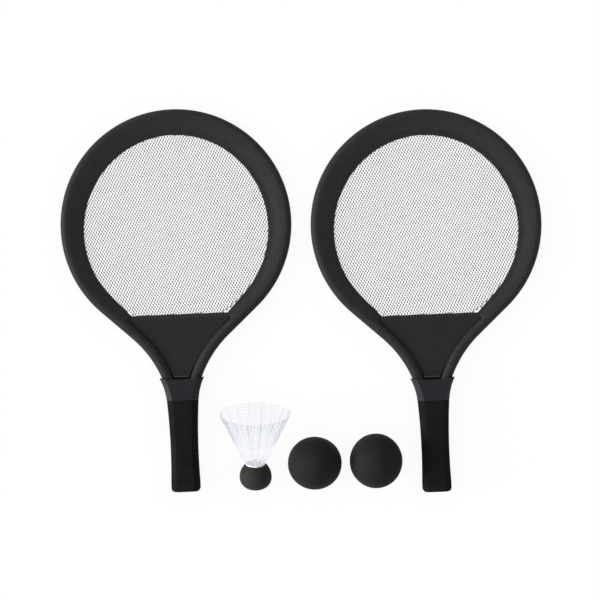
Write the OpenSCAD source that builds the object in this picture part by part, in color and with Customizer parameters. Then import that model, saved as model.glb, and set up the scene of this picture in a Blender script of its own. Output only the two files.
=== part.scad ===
// Two oversize rackets, a shuttlecock and two foam balls, laid out flat as a set.
// Millimetres. X runs from racket to racket, Y from handle to head, Z up.
// The origin is on the table, under the middle of the whole set.

/* [Layout] */
// Distance between the middles of the two heads
head_spacing = 275; // [262:1:340]
// How far each racket is turned on the table, head to the left
racket_turn = 2.3; // [0:0.1:5]
// Middle of the shuttlecock's nose, from the middle of the set
shuttle_x = -49.6; // [-60:0.1:-46]
// Middle of the shuttlecock's nose, below the middle of the set
shuttle_y = 192; // [150:0.5:220]
// How far the shuttlecock is turned on the table
shuttle_turn = 0.4; // [0:0.1:10]
// Middle of the left ball, from the middle of the set
ball_left_x = 15; // [10:0.5:18]
// Middle of the left ball, below the middle of the set
ball_left_y = 177.4; // [150:0.1:220]
// Middle of the right ball, from the middle of the set
ball_right_x = 81.7; // [80:0.1:90]
// Middle of the right ball, below the middle of the set
ball_right_y = 174.9; // [150:0.1:220]

/* [Hoop] */
// Radius of the round head, to the middle of the tube
head_r = 121; // [105:1:125]
// Diameter of the tube
tube_d = 8; // [6:0.5:9]
// Wall of the tube
tube_wall = 1; // [0.6:0.1:1.5]
// Angle between a shoulder and the racket's axis
shoulder_angle = 47.5; // [44:0.1:50]
// Radius of the bend from a shoulder to its leg, to the middle of the tube
shoulder_r = 127; // [110:1:140]
// Distance between the middles of the two legs
leg_spacing = 15; // [13:0.5:16]
// Length of each straight leg end inside the handle
leg_straight = 34; // [20:1:45]

/* [Cover] */
// Thickness of the cover over the tube
cover_d = 12; // [11:0.5:14]
// Width of the cover at the crown, from its outer edge to the net
band_crown = 28; // [22:0.5:34]
// How much larger the radius of the net's sides is than that of its top
side_ease = 7; // [1:0.5:12]
// Angle above level where the net's sides begin
side_start = 50; // [35:1:60]
// Angle between the racket's axis and the straight sides of the net
hem_angle = 43.3; // [41:0.1:46]
// Thickness of the hem that holds the net
hem_t = 2; // [1.6:0.1:3]
// How much further in the cover goes at the top of the throat panel than along the legs
seam_ease = 1; // [0.5:0.1:3]
// Room round the tube inside the cover
cover_fit = 0.35; // [0.25:0.05:0.6]

/* [Net] */
// Thickness of the net
net_t = 0.8; // [0.4:0.1:1.2]
// Distance between gaps along a row
net_pitch = 12; // [11:0.5:18]
// Distance between the rows
net_row = 9.4; // [9:0.2:15]
// Width of the strands between the gaps
net_strand = 2.2; // [1.4:0.1:3]
// How far the rows rise to the right
net_slant = 4; // [0:0.5:10]

/* [Throat panel] */
// Height of the panel above the mouth of the handle
panel_h = 69.5; // [55:0.5:75]
// Thickness of each of its two layers
panel_t = 1; // [0.6:0.1:1.5]
// Gap between the panel and the legs
panel_gap = 0.6; // [0.4:0.1:2]
// How far the net goes in between the two layers
net_seam = 4; // [3:0.5:8]
// How far the panel goes into the handle
panel_tuck = 9; // [4:0.5:11]

/* [Handle] */
// Where the handle's mouth is, above the lower end of the shoulder bends
mouth_rise = 44.7; // [40:0.1:52]
// Height of the collar
collar_h = 25; // [22:0.5:32]
// Radius of the flare on the sides of the collar
flare_r = 66; // [58:1:80]
// Thickness of the collar at its mouth
mouth_t = 22; // [19:0.5:23]
// How far the mouth dips in the middle
mouth_dip = 2.3; // [1:0.1:4]
// Width of the chamfer along the mouth
mouth_chamfer = 0.9; // [0.4:0.1:1.1]
// Wall of the collar round its mouth
collar_wall = 1.2; // [1:0.1:1.6]
// Depth of the pocket behind the mouth
pocket_h = 16; // [13:0.5:18]
// Height of the narrow sides between the bevels
side_h = 13; // [10:0.5:16]
// Slope of the bevels
bevel_slope = 0.9; // [0.7:0.05:1.1]
// Width of the core inside the grip
core_w = 26; // [24.5:0.5:26.5]
// Thickness of the core inside the grip
core_t = 16; // [14:0.5:18]
// Bevel along the edges of the core
core_bevel = 4; // [3:0.5:5]
// Room between pieces that are pushed together
fit = 0.15; // [0.1:0.05:0.3]

/* [Grip] */
// Length of the whole grip with its cap
grip_h = 100; // [90:1:120]
// Width of the grip at its waist
waist_w = 30; // [30:0.5:34]
// Thickness of the grip at its waist
waist_t = 23; // [21:0.5:26]
// Height of the waist above the end of the grip
waist_rise = 44.5; // [35:0.5:60]
// Radius of the hollow along the sides of the grip
waist_side_r = 720; // [500:10:1500]
// Radius of the hollow along the front and back of the grip
waist_face_r = 2400; // [1500:50:4000]
// Width of the bevels along the grip
grip_bevel = 6; // [4:0.5:8]
// How far the edges of the bevels are rounded
grip_soften = 1.4; // [0.8:0.1:2]
// Height of the end cap
cap_h = 12.8; // [9:0.1:18]
// Radius round the end of the cap
cap_round = 4.4; // [2:0.2:6]
// Thickness of the end of the cap, under the core
cap_floor = 6; // [4:0.5:8]

/* [Shuttlecock] */
// Diameter of the foam nose
nose_d = 35.2; // [32:0.2:40]
// Height of the nose below its widest place
nose_low = 14.4; // [13:0.1:16]
// Height of the nose's flat face above its widest place
nose_flat = 14.3; // [12:0.1:15]
// Diameter of the nose's flat face
nose_face_d = 23; // [22:0.5:26]
// Radius round the sides of the nose
nose_side = 12; // [9:0.5:12.5]
// Diameter of the plug inside the nose
plug_d = 14; // [10:0.5:18]
// Length of the plug inside the nose
plug_h = 10.5; // [6:0.5:14]
// Diameter of the skirt where it meets the nose
skirt_base_d = 21.6; // [20:0.2:22]
// Diameter of the skirt's mouth
skirt_mouth_d = 77.2; // [60:0.2:84]
// Distance from the nose's widest place to the skirt's mouth
skirt_reach = 72; // [60:1:80]
// Number of stems
stems = 16; // [12:2:20]
// Width of a stem
stem_w = 1.3; // [1:0.1:2]
// Depth of a stem at its foot
stem_foot = 2; // [1.5:0.1:3]
// Depth of a stem at its tip
stem_tip = 1.4; // [1.2:0.1:2]
// Width of the thin ribs between the stems
rib_w = 0.9; // [0.7:0.1:1.3]
// Height above the nose's widest place where the thin ribs begin
rib_start = 36; // [30:1:45]
// Number of rings
rings = 8; // [5:1:10]
// Height of each ring
ring_h = 0.9; // [0.7:0.1:1.5]
// How far the stems stand past the last ring
fringe = 2.2; // [1.5:0.1:4]

/* [Balls] */
// Diameter of each foam ball
ball_d = 58; // [50:0.5:62]

/* [Hidden] */
$fn = 96;

tube_r = tube_d / 2;
cover_r = cover_d / 2;
leg_x = leg_spacing / 2;
run_in = 0.8;
run_slim = 0.02;

// The hoop, in the racket's own frame: origin at the middle of the head, Y towards the crown
shoulder_len = (head_r * cos(shoulder_angle) - leg_x - shoulder_r * (1 - cos(shoulder_angle)))
    / sin(shoulder_angle);
shoulder_top = head_r * [cos(shoulder_angle), -sin(shoulder_angle)];
shoulder_low = shoulder_top - shoulder_len * [sin(shoulder_angle), cos(shoulder_angle)];
bend_mid = shoulder_low + shoulder_r * [cos(shoulder_angle), -sin(shoulder_angle)];
leg_end_y = bend_mid.y - leg_straight;

// The net's outline: an arc over the top, a wider arc at each side, straight lower sides and foot.
// The right side's arc has its middle at side_mid and turns into the straight side at hem_turn.
hem_r = head_r + cover_r - band_crown;
side_r = hem_r + side_ease;
side_mid = -side_ease * [cos(side_start), sin(side_start)];
hem_offset = side_r + side_mid.x * cos(hem_angle) - side_mid.y * sin(hem_angle);
hem_turn = atan2(
    side_mid.y - side_r * sin(hem_angle),
    side_mid.x + side_r * cos(hem_angle)
);

// The handle
mouth_y = bend_mid.y + mouth_rise;
collar_y = mouth_y - collar_h;
pocket_y = mouth_y - pocket_h;
pocket_t = mouth_t - 2 * collar_wall;
grip_end_y = collar_y - grip_h;
cap_y = grip_end_y + cap_h;
core_end_y = grip_end_y + cap_floor;
waist_y = grip_end_y + waist_rise;
// The flare goes on from the slope of the grip's sides
flare_start = atan((collar_y - waist_y) / waist_side_r);
flare_mid = [
    grip_half_w(collar_y) + flare_r * cos(flare_start),
    collar_y - flare_r * sin(flare_start)
];
mouth_x = flare_mid.x - sqrt(pow(flare_r, 2) - pow(mouth_y - flare_mid.y, 2));
dip_r = (pow(mouth_x, 2) + pow(mouth_dip, 2)) / (2 * mouth_dip);

panel_top_y = mouth_y + panel_h;
panel_low_y = mouth_y - panel_tuck;
net_low_y = panel_top_y - net_seam;
mouth_angle = asin(mouth_rise / shoulder_r);
tuck_angle = asin((mouth_rise - pocket_h + 2.2) / shoulder_r);
// Where the hem ends on the shoulder: at the panel's upper corner
hem_corner = [hem_x(panel_top_y), panel_top_y];
corner_step = 1;
corner_run = max(
    2 * corner_step,
    (hem_corner - shoulder_low) * [sin(shoulder_angle), cos(shoulder_angle)]
);

function grip_half_w(y) = waist_w / 2 + pow(y - waist_y, 2) / (2 * waist_side_r);
function grip_half_t(y) = waist_t / 2 + pow(y - waist_y, 2) / (2 * waist_face_r);
function mix(a, b, t) = a + (b - a) * t;
function flip_x(p) = [-p.x, p.y];

// ---- How the racket lies: on its crown and on the thickest place of its handle ----
function tilt_on(y, half_t) =
    let (run = head_r - y)
    atan(half_t / run) - asin(cover_r / norm([run, half_t]));
tilt = max(
    tilt_on(mouth_y, mouth_t / 2),
    tilt_on(collar_y, grip_half_t(collar_y)),
    tilt_on(grip_end_y + cap_round, grip_half_t(cap_y))
);
rest_h = cover_r + head_r * sin(tilt);
// The set's middle lies halfway between the crown and the grip's end
crown_reach = head_r + cover_r;
end_reach = (-grip_end_y - cap_round) * cos(racket_turn)
    + (grip_half_w(cap_y) - cap_round) * sin(racket_turn) + cap_round;
head_y = (end_reach - crown_reach) / 2;

// ---- Stations along the cover: [middle of the tube, outward direction, reach to the hem] ----
function on_hem_line(p, out) =
    (p.x * cos(hem_angle) - p.y * sin(hem_angle) - hem_offset)
    / (out.x * cos(hem_angle) - out.y * sin(hem_angle));
function bend_station(angle) =
    let (out = [cos(angle), -sin(angle)])
    [bend_mid - shoulder_r * out, out, cover_r];
function on_shoulder(run) =
    shoulder_low + run * [sin(shoulder_angle), cos(shoulder_angle)];
shoulder_out = [cos(shoulder_angle), -sin(shoulder_angle)];
function seam_station(run) = [on_shoulder(run), shoulder_out, cover_r + seam_ease];
function hem_station(run) =
    [on_shoulder(run), shoulder_out, on_hem_line(on_shoulder(run), shoulder_out)];
function head_station(angle) =
    let (
        out = [cos(angle), sin(angle)],
        along = out * side_mid,
        on_line = hem_offset / cos(angle + hem_angle),
        on_side = along + sqrt(side_r * side_r - side_mid * side_mid + along * along)
    )
    [head_r * out, out, head_r - (
        angle < hem_turn ? on_line : angle < side_start ? on_side : hem_r
    )];
function mirrored(s) = [flip_x(s[0]), flip_x(s[1]), s[2]];
function hem_point(s, gap = 0) = s[0] - s[1] * (s[2] + gap);

bend_steps = 6;
head_steps = 24;
// Beside the panel the cover is narrow, and beside the net it is drawn down to the hem
leg_side = concat(
    [bend_station(tuck_angle)],
    [for (i = [0:bend_steps]) bend_station(mix(mouth_angle, shoulder_angle, i / bend_steps))],
    [seam_station(corner_run - corner_step)]
);
face_side = concat(
    [hem_station(corner_run)],
    [for (i = [0:head_steps - 1])
        head_station(mix(-shoulder_angle, 90, i / head_steps))]
);
right_side = concat(leg_side, face_side);
left_side = [for (i = [len(right_side) - 1:-1:0]) mirrored(right_side[i])];
stations = concat(right_side, [head_station(90)], left_side);

// Cross-section of the cover: round over the tube, drawn in to the hem
cover_arc_steps = 10;
function cover_section(reach) =
    let (
        half = hem_t / 2,
        lean = atan(half / reach) + acos(cover_r / norm([reach, half]))
    )
    concat(
        [[-reach, half]],
        [for (i = [0:cover_arc_steps])
            let (a = mix(180 - lean, lean - 180, i / cover_arc_steps))
            cover_r * [cos(a), sin(a)]],
        [[-reach, -half]]
    );
function cover_ring(s) = [
    for (q = cover_section(s[2]))
        [s[0].x + s[1].x * q.x, s[0].y + s[1].y * q.x, q.y]
];

// Closed skin over a row of rings that all have the same number of points
module skin(rows) {
    n = len(rows[0]);
    last = len(rows) - 1;
    sides = [
        for (r = [0:last - 1], i = [0:n - 1])
            let (a = r * n + i, b = r * n + (i + 1) % n)
            each [[a, b + n, b], [a, a + n, b + n]]
    ];
    polyhedron(
        points = [for (row = rows) each row],
        faces = concat(
            [[for (i = [0:n - 1]) i]],
            sides,
            [[for (i = [n - 1:-1:0]) last * n + i]]
        )
    );
}

// ---- Racket ----
module both_sides() {
    children();
    mirror([1, 0, 0]) children();
}

// The hoop's path with a round section, from leg end to leg end.
// Each straight run is a hair slimmer than the bends and goes a little way into them.
module hoop_path(r, past_end = 0) {
    rotate([0, 0, -shoulder_angle])
        rotate_extrude(angle = 180 + 2 * shoulder_angle)
            translate([head_r, 0]) circle(r);
    both_sides() {
        translate([shoulder_low.x, shoulder_low.y, 0])
            rotate([-90, 0, -shoulder_angle])
                translate([0, 0, -run_in])
                    cylinder(r = r - run_slim, h = shoulder_len + 2 * run_in);
        leg_path(r, past_end);
    }
}

// The bend and the straight end of the right leg
module leg_path(r, past_end = 0) {
    translate([bend_mid.x, bend_mid.y, 0])
        rotate([0, 0, 180 - shoulder_angle])
            rotate_extrude(angle = shoulder_angle)
                translate([shoulder_r, 0]) circle(r);
    translate([leg_x, bend_mid.y + run_in, 0])
        rotate([90, 0, 0])
            cylinder(r = r - run_slim, h = leg_straight + run_in + past_end);
}

module hoop_tube() {
    color("dimgray")
        difference() {
            hoop_path(tube_r);
            hoop_path(tube_r - tube_wall, 1);
        }
}

module rim_cover() {
    color("#2b2b2c")
        difference() {
            skin([for (s = stations) cover_ring(s)]);
            hoop_path(tube_r + cover_fit);
        }
}

// Half the net's width at a height on its straight sides, with a gap to the hem
function hem_x(y, gap = 0) = (hem_offset - gap + y * sin(hem_angle)) / cos(hem_angle);

net_right = [for (s = face_side) hem_point(s)];
net_outline = concat(
    [[hem_x(net_low_y), net_low_y]],
    net_right,
    [hem_point(head_station(90))],
    [for (i = [len(net_right) - 1:-1:0]) flip_x(net_right[i])],
    [[-hem_x(net_low_y), net_low_y]]
);

// A gap belongs to the net only if it is whole, with a border round it
net_border = net_pitch / 2 + net_strand;
function in_face(p) =
    let (q = [abs(p.x), p.y])
    (atan2(q.y, q.x) < side_start
        ? norm(q - side_mid) < side_r - net_border
        : norm(q) < hem_r - net_border)
    && q.x * cos(hem_angle) - q.y * sin(hem_angle) < hem_offset - net_border
    && q.y > panel_top_y + net_border;
function on_slant(p) = [
    p.x * cos(net_slant) - p.y * sin(net_slant),
    p.x * sin(net_slant) + p.y * cos(net_slant)
];

module net() {
    gap_w = net_pitch - net_strand;
    gap_h = net_row * 4 / 3 - net_strand;
    rows = ceil(hem_r / net_row) + 1;
    columns = ceil(hem_r / net_pitch) + 1;
    color("white")
        difference() {
            translate([0, 0, -net_t / 2])
                linear_extrude(net_t) polygon(net_outline);
            for (row = [-rows:rows], column = [-columns:columns]) {
                p = on_slant([(column + (row % 2 == 0 ? 0 : 0.5)) * net_pitch, row * net_row]);
                if (in_face(p))
                    translate([p.x, p.y, -net_t])
                        rotate([0, 0, net_slant])
                            linear_extrude(2 * net_t)
                                polygon([
                                    [0, gap_h / 2], [-gap_w / 2, gap_h / 4], [-gap_w / 2, -gap_h / 4],
                                    [0, -gap_h / 2], [gap_w / 2, -gap_h / 4], [gap_w / 2, gap_h / 4]
                                ]);
            }
        }
}

// The panel follows the legs and the hem's end, a gap away from them
panel_right = concat(
    [[bend_mid.x - sqrt(pow(shoulder_r + cover_r + panel_gap, 2) - pow(panel_low_y - bend_mid.y, 2)),
        panel_low_y]],
    [for (i = [0:len(leg_side) - 2])
        if (hem_point(leg_side[i]).y > panel_low_y + 1)
            hem_point(leg_side[i], panel_gap)],
    [hem_point(seam_station(corner_run - corner_step - 1.2 * panel_gap), panel_gap)],
    [[hem_x(panel_top_y, panel_gap), panel_top_y]]
);

module throat_panel() {
    translate([0, 0, net_t / 2])
        linear_extrude(panel_t)
            polygon(concat(
                panel_right,
                [for (i = [len(panel_right) - 1:-1:0]) flip_x(panel_right[i])]
            ));
}

module panel_front() {
    color("#2b2c2f") throat_panel();
}

module panel_back() {
    color("#2b2c2f") mirror([0, 0, 1]) throat_panel();
}

// The collar seen from the front, its sides drawn in by a wall
module collar_outline(wall = 0) {
    difference() {
        translate([-mouth_x - 5, collar_y])
            square([2 * mouth_x + 10, collar_h + 5]);
        both_sides()
            translate(flare_mid) circle(flare_r + wall, $fn = 180);
        translate([-mouth_x - 10, mouth_y])
            square([2 * mouth_x + 20, 20]);
    }
}

module collar_shape() {
    low_t = 2 * grip_half_t(collar_y);
    intersection() {
        linear_extrude(2 * low_t, center = true) collar_outline();
        rotate([90, 0, 90])
            linear_extrude(4 * mouth_x, center = true)
                polygon([
                    [collar_y, -low_t / 2], [mouth_y, -mouth_t / 2],
                    [mouth_y, mouth_t / 2], [collar_y, low_t / 2]
                ]);
    }
}

// What the bevels along the flared sides take away, seen in the flare's own radius and height.
// Inside the pocket the bevels stand a wall further in.
module collar_bevels(wall = 0) {
    outside = 2;
    inside = 14;
    edge_h = side_h / 2 - wall * norm([1, bevel_slope]);
    both_sides()
        for (face = [0, 1])
            mirror([0, 0, face])
                translate([flare_mid.x, flare_mid.y, 0])
                    rotate([0, 0, 140])
                        rotate_extrude(angle = 45, $fn = 180)
                            polygon([
                                [flare_r - outside, edge_h - outside * bevel_slope],
                                [flare_r + inside, edge_h + inside * bevel_slope],
                                [flare_r - outside, edge_h + inside * bevel_slope]
                            ]);
}

// The bevelled core that the grip and its cap go over, with room round it
module core(low_y, high_y, room = 0) {
    w = core_w / 2 + room;
    t = core_t / 2 + room;
    b = core_bevel;
    translate([0, high_y, 0])
        rotate([90, 0, 0])
            linear_extrude(high_y - low_y)
                polygon([
                    [w, t - b], [w - b, t], [b - w, t], [-w, t - b],
                    [-w, b - t], [b - w, -t], [w - b, -t], [w, b - t]
                ]);
}

// The mouth dips in the middle and is chamfered front and back
module mouth_cut() {
    translate([0, mouth_y - mouth_dip + dip_r, 0]) {
        cylinder(r = dip_r, h = 2 * mouth_t, center = true, $fn = 180);
        for (face = [0, 1])
            mirror([0, 0, face])
                translate([0, 0, mouth_t / 2 - mouth_chamfer])
                    cylinder(
                        r1 = dip_r, r2 = dip_r + 2 * mouth_chamfer,
                        h = 2 * mouth_chamfer, $fn = 180
                    );
    }
}

// The pocket that takes the covered legs and the panel
module collar_pocket() {
    difference() {
        intersection() {
            translate([0, 0, -pocket_t / 2])
                linear_extrude(pocket_t) collar_outline(collar_wall);
            translate([-2 * mouth_x, pocket_y, -mouth_t])
                cube([4 * mouth_x, pocket_h + 1, 2 * mouth_t]);
        }
        collar_bevels(collar_wall);
    }
}

// Room in the pocket for the right covered leg, however far it splays
module leg_room() {
    intersection() {
        leg_path(cover_r + fit);
        translate([0, pocket_y, -mouth_t])
            cube([4 * mouth_x, pocket_h + 1, 2 * mouth_t]);
    }
}

module handle_body() {
    color("#2c2d31")
        difference() {
            union() {
                collar_shape();
                core(core_end_y, collar_y);
            }
            collar_bevels();
            mouth_cut();
            collar_pocket();
            both_sides() leg_room();
            both_sides() leg_path(tube_r + fit);
        }
}

// One ring of the grip: a box with bevelled and softened edges, as wide as the grip is at wide_y
function grip_ring(y, wide_y, inset = 0) =
    let (
        w = grip_half_w(wide_y) - inset,
        t = grip_half_t(wide_y) - inset,
        b = max(grip_soften * 1.5, grip_bevel - inset / 2),
        c = b * bevel_slope,
        k = grip_soften / norm([b, c]),
        corner = [
            [w - b, t], [w - b * (1 - k), t - c * k], [w - b * k, t - c * (1 - k)], [w, t - c]
        ],
        soft = concat(
            [[w - b - grip_soften, t]],
            [corner[1], corner[2]],
            [[w, t - c - grip_soften]]
        )
    )
    [
        each [for (i = [0:3]) [soft[i].x, y, soft[i].y]],
        each [for (i = [3:-1:0]) [soft[i].x, y, -soft[i].y]],
        each [for (i = [0:3]) [-soft[i].x, y, -soft[i].y]],
        each [for (i = [3:-1:0]) [-soft[i].x, y, soft[i].y]]
    ];

module grip_sleeve() {
    steps = 8;
    color("#1d1d1f")
        difference() {
            skin([
                for (i = [0:steps])
                    let (y = mix(cap_y, collar_y, i / steps))
                    grip_ring(y, y)
            ]);
            core(cap_y - 1, collar_y + 1, fit);
        }
}

module butt_cap() {
    steps = 4;
    color("#1d1d1f")
        difference() {
            skin(concat(
                [for (i = [0:steps])
                    let (a = 90 * i / steps)
                    grip_ring(grip_end_y + cap_round * (1 - cos(a)), cap_y, cap_round * (1 - sin(a)))],
                [grip_ring(cap_y, cap_y)]
            ));
            core(core_end_y, cap_y + 1, fit);
        }
}

// Puts a racket on the table, one side of the set or the other
module lay_racket(side) {
    translate([side * head_spacing / 2, head_y, rest_h])
        rotate([-tilt, 0, racket_turn])
            children();
}

// ---- Shuttlecock, in its own frame: origin at the nose's widest place, Z towards the mouth ----
nose_r = nose_d / 2;
mouth_r = skirt_mouth_d / 2;
// The nose's outline is three arcs: a wide one below, one round the side and one up to the face
side_x = nose_r - nose_side;
low_r = (pow(side_x, 2) + pow(nose_low, 2) - pow(nose_side, 2)) / (2 * (nose_low - nose_side));
face_in = nose_r - nose_face_d / 2;
high_r = (pow(face_in, 2) + pow(nose_flat, 2)) / (2 * face_in);
// It lies on the side of its nose and on the rim of its skirt
lie_x = mouth_r - side_x;
shuttle_tilt = atan(lie_x / skirt_reach) - asin(nose_side / norm([lie_x, skirt_reach]));
shuttle_h = nose_side + side_x * cos(shuttle_tilt);

function skirt_r(z) = mix(skirt_base_d / 2, mouth_r, (z - nose_flat) / (skirt_reach - nose_flat));
function skirt_depth(z) = mix(stem_foot, stem_tip, (z - nose_flat) / (skirt_reach - nose_flat));

// One stem or rib: a thin plate that stands on the cone
module fin(low, width) {
    rotate([90, 0, 0])
        linear_extrude(width, center = true)
            polygon([
                [skirt_r(low) - skirt_depth(low), low], [skirt_r(low), low],
                [mouth_r, skirt_reach], [mouth_r - stem_tip, skirt_reach]
            ]);
}

module ring(z) {
    inset = 0.3;
    low = z - ring_h / 2;
    high = z + ring_h / 2;
    rotate_extrude()
        polygon([
            [skirt_r(low) - skirt_depth(low) + inset, low], [skirt_r(low) - inset, low],
            [skirt_r(high) - inset, high], [skirt_r(high) - skirt_depth(high) + inset, high]
        ]);
}

module shuttle_skirt() {
    hub_h = 1.6;
    first_ring = rib_start + ring_h;
    last_ring = skirt_reach - fringe;
    color("white")
        union() {
            translate([0, 0, nose_flat - plug_h])
                cylinder(d = plug_d, h = plug_h + hub_h / 2);
            translate([0, 0, nose_flat])
                cylinder(d = skirt_base_d - 0.6, h = hub_h);
            for (i = [0:stems - 1])
                rotate([0, 0, (i + 0.5) * 360 / stems]) {
                    fin(nose_flat, stem_w);
                    rotate([0, 0, 180 / stems]) fin(rib_start, rib_w);
                }
            for (i = [0:rings - 1])
                ring(mix(first_ring, last_ring, i / (rings - 1)));
        }
}

// Half of the nose's outline
module nose_outline() {
    low_mid = [0, low_r - nose_low];
    to_side = ([side_x, 0] - low_mid) / norm([side_x, 0] - low_mid);
    intersection() {
        union() {
            intersection() {
                translate([nose_r - high_r, 0]) circle(high_r);
                square([nose_d, nose_flat]);
            }
            intersection() {
                translate([side_x, 0]) circle(nose_side);
                translate([0, -nose_d]) square([nose_d, nose_d]);
            }
            intersection() {
                translate(low_mid) circle(low_r);
                polygon([low_mid, low_mid - [0, nose_d], low_mid + nose_d * to_side]);
                translate([0, -nose_d]) square([nose_d, nose_d]);
            }
        }
        translate([0, -nose_d]) square([nose_d, 2 * nose_d]);
    }
}

module shuttle_nose() {
    color("#303031")
        difference() {
            rotate_extrude() nose_outline();
            translate([0, 0, nose_flat - plug_h])
                cylinder(d = plug_d, h = nose_r);
        }
}

// Lays the shuttlecock on its nose and on the rim of its skirt
module lay_shuttle() {
    translate([shuttle_x, -shuttle_y, shuttle_h])
        rotate([shuttle_tilt - 90, 0, shuttle_turn])
            children();
}

module ball(x, y) {
    color("#28282a")
        translate([x, -y, ball_d / 2]) sphere(d = ball_d);
}

lay_racket(-1) hoop_tube();  // left_hoop_tube
lay_racket(-1) rim_cover();  // left_rim_cover
lay_racket(-1) net();  // left_net
lay_racket(-1) panel_front();  // left_panel_front
lay_racket(-1) panel_back();  // left_panel_back
lay_racket(-1) handle_body();  // left_handle_body
lay_racket(-1) grip_sleeve();  // left_grip_sleeve
lay_racket(-1) butt_cap();  // left_butt_cap
lay_racket(1) hoop_tube();  // right_hoop_tube
lay_racket(1) rim_cover();  // right_rim_cover
lay_racket(1) net();  // right_net
lay_racket(1) panel_front();  // right_panel_front
lay_racket(1) panel_back();  // right_panel_back
lay_racket(1) handle_body();  // right_handle_body
lay_racket(1) grip_sleeve();  // right_grip_sleeve
lay_racket(1) butt_cap();  // right_butt_cap
lay_shuttle() shuttle_skirt();
lay_shuttle() shuttle_nose();
ball(ball_left_x, ball_left_y);  // ball_left
ball(ball_right_x, ball_right_y);  // ball_right
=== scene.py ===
import math

import bmesh
import bpy
from bpy.props import FloatProperty, FloatVectorProperty, IntProperty, PointerProperty
from mathutils import Matrix, Vector, noise


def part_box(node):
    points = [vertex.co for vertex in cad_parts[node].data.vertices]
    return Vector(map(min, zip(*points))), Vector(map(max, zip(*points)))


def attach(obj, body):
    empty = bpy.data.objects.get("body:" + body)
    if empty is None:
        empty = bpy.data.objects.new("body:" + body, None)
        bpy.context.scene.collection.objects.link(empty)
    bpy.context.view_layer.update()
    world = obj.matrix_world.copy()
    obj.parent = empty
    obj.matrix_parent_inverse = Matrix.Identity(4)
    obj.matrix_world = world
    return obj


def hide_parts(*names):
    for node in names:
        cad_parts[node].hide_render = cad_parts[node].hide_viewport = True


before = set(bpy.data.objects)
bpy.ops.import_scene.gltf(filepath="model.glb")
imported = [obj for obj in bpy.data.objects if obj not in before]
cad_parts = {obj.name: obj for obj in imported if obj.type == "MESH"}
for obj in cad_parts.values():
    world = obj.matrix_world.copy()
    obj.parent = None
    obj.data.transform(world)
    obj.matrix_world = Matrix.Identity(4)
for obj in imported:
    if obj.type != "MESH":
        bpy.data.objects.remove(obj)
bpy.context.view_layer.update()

bl_info = {
    "name": "Racket Set",
    "version": (1, 0, 0),
    "blender": (4, 5, 0),
    "location": "3D View > Sidebar > Racket Set",
    "description": "Dresses two fabric-rimmed rackets, a shuttlecock and two foam balls",
    "category": "Object",
}

MM = 0.001
SIDES = ("left", "right")


# ---- Sizes and colours ----

def length(name, description, millimetres):
    """A size in metres, given in millimetres"""
    return FloatProperty(
        name=name, description=description, default=millimetres * MM, unit="LENGTH", precision=5)


def angle(name, description, degrees):
    """An angle, given in degrees"""
    return FloatProperty(
        name=name, description=description, default=math.radians(degrees), unit="ROTATION")


def share(name, description, value):
    """A share from 0 to 1"""
    return FloatProperty(
        name=name, description=description, default=value, min=0.0, max=1.0, subtype="FACTOR")


def number(name, description, value):
    """A plain number"""
    return FloatProperty(name=name, description=description, default=value, min=0.0)


def count(name, description, value):
    """A whole number of pieces"""
    return IntProperty(name=name, description=description, default=value, min=1)


def lengths(name, description, *millimetres):
    """Two or three sizes in metres, given in millimetres"""
    return FloatVectorProperty(
        name=name, description=description, unit="LENGTH", size=len(millimetres),
        default=[value * MM for value in millimetres])


def colour(name, description, red, green, blue):
    """A colour, given as the screen shows it from 0 to 255"""
    def straight(level):
        level /= 255
        return level / 12.92 if level <= 0.04045 else ((level + 0.055) / 1.055) ** 2.4
    return FloatVectorProperty(
        name=name, description=description, subtype="COLOR", size=3, min=0.0, max=1.0,
        default=(straight(red), straight(green), straight(blue)))


class HoopSizes(bpy.types.PropertyGroup):
    """The racket's rim"""
    head_radius: length("Head radius", "To the middle of the tube", 121)
    cover_radius: length("Cover radius", "Half the cover's thickness over the tube", 6)
    shoulder_angle: angle("Shoulder angle", "Between a shoulder and the racket's axis", 47.5)
    shoulder_radius: length("Shoulder radius", "Of the bend from shoulder to leg", 127)
    leg_spacing: length("Leg spacing", "Between the middles of the legs", 15)
    band_crown: length("Band at the crown", "From the outer edge to the net", 28.25)
    side_ease: length("Side ease", "How much larger the radius of the net's sides is", 7)
    side_start: angle("Side start", "Angle above level where the net's sides begin", 50)
    hem_angle: angle("Hem angle", "Between the net's straight sides and the axis", 43.3)
    hem_thickness: length("Hem thickness", "Of the edge that holds the net", 2)
    sag: length("Fabric sag", "How far the stretched fabric draws in", 0.2)
    swell: length("Fabric swell", "How far it bends in near the hem and out near the tube", 0.35)
    hem_shift: lengths(
        "Hem shift", "How far the net's opening sits off the head's middle", -0.25, -0.4)
    shift_run: length("Shift run", "Over what length of the hem that shift sets in", 60)
    seam_ease: length("Seam ease", "How much further in the cover goes at the panel's top", 1)
    corner: length("Corner", "How quickly the hem ends at the panel's corner", 1)
    mouth_rise: length("Mouth rise", "From the foot of the bends to the handle's mouth", 44.7)
    tuck: length("Tuck", "How far the covered legs go into the handle", 13.8)
    weave: length("Weave pitch", "Distance between two threads", 0.62)
    relief: length("Hem relief", "Width of the edge that the net shows through", 9)


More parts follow.
